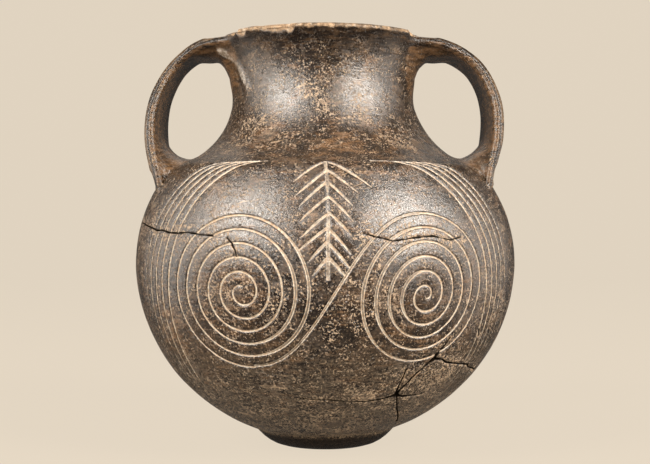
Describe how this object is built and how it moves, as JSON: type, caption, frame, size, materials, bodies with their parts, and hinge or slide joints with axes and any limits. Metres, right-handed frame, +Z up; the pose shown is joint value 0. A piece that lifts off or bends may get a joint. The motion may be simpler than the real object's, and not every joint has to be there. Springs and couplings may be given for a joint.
{
  "type": "two-handled pottery jar",
  "caption": "Handmade round-bodied clay jar with a flaring neck, two strap handles and incised double spirals, worn and mended.",
  "frame": {"origin": "on the ground under the middle of the foot", "axes": "+Z up out of the mouth, -Y towards the decorated front, the handles at -X and +X"},
  "size_m": [0.15, 0.15, 0.1609],
  "materials": {
    "clay": "burnished dark brown to black coarse clay, incised lines filled with cream, worn pale at the lip"
  },
  "bodies": {
    "root": {"amphora": "clay"}
  },
  "joints": []
}
